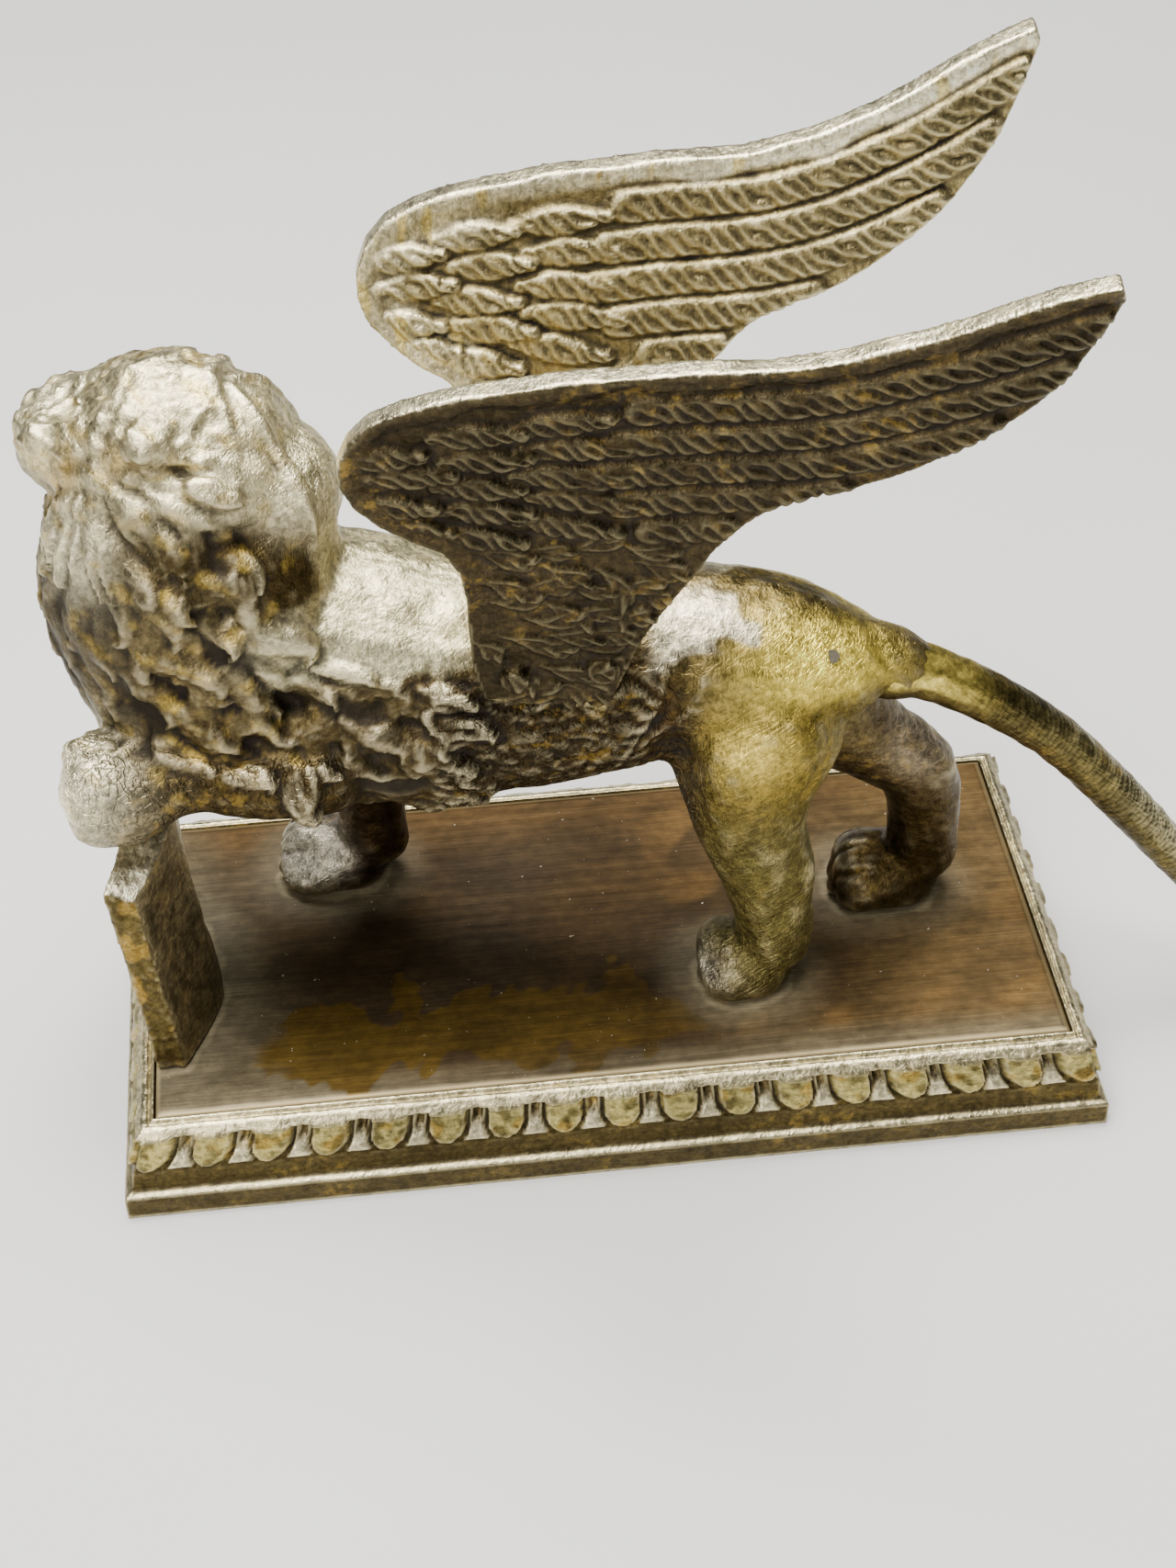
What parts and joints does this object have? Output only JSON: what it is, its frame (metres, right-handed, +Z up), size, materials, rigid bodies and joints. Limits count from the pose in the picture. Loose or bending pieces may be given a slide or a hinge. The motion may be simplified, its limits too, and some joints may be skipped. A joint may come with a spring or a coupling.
{
  "type": "winged lion desk bronze",
  "caption": "Cast bronze winged lion, one forepaw on an open book, standing on a hollow rectangular plinth with an egg-and-dart moulding.",
  "frame": {"origin": "on the table, under the middle of the whole object's footprint box", "axes": "+X along the plinth from the lion's head to its tail, +Y to the lion's right, +Z up"},
  "size_m": [0.2014, 0.078, 0.1518],
  "materials": {
    "bronze": "aged cast bronze, dark brown in the hollows and olive gold to pale where it is rubbed",
    "wing_bronze": "darker brown patinated bronze with pale filed edges",
    "moulding": "cast brass, olive-gold eggs and pale rubbed ridges",
    "deck": "red-brown brushed plate with a grey haze round the paws",
    "book": "brown patinated bronze, rough olive-gold leaf ends and a pale filed top",
    "pin": "filed brass pin",
    "steel": "plain zinc-plated screw steel"
  },
  "bodies": {
    "root": {"plinth_frame": "moulding", "deck_plate": "deck", "lion_body": "bronze", "wing_left": "wing_bronze", "wing_right": "wing_bronze", "tail": "bronze", "book": "book", "wing_pin_left_front": "pin", "wing_pin_left_rear": "pin", "wing_pin_right_front": "pin", "wing_pin_right_rear": "pin", "tail_pin": "pin", "right_fore_paw_screw": "steel", "left_hind_paw_screw": "steel", "right_hind_paw_screw": "steel", "right_fore_paw_washer": "steel", "left_hind_paw_washer": "steel", "right_hind_paw_washer": "steel", "book_screw": "steel", "book_washer": "steel", "deck_screw_1": "steel", "deck_screw_2": "steel", "deck_screw_3": "steel", "deck_screw_4": "steel"}
  },
  "joints": []
}
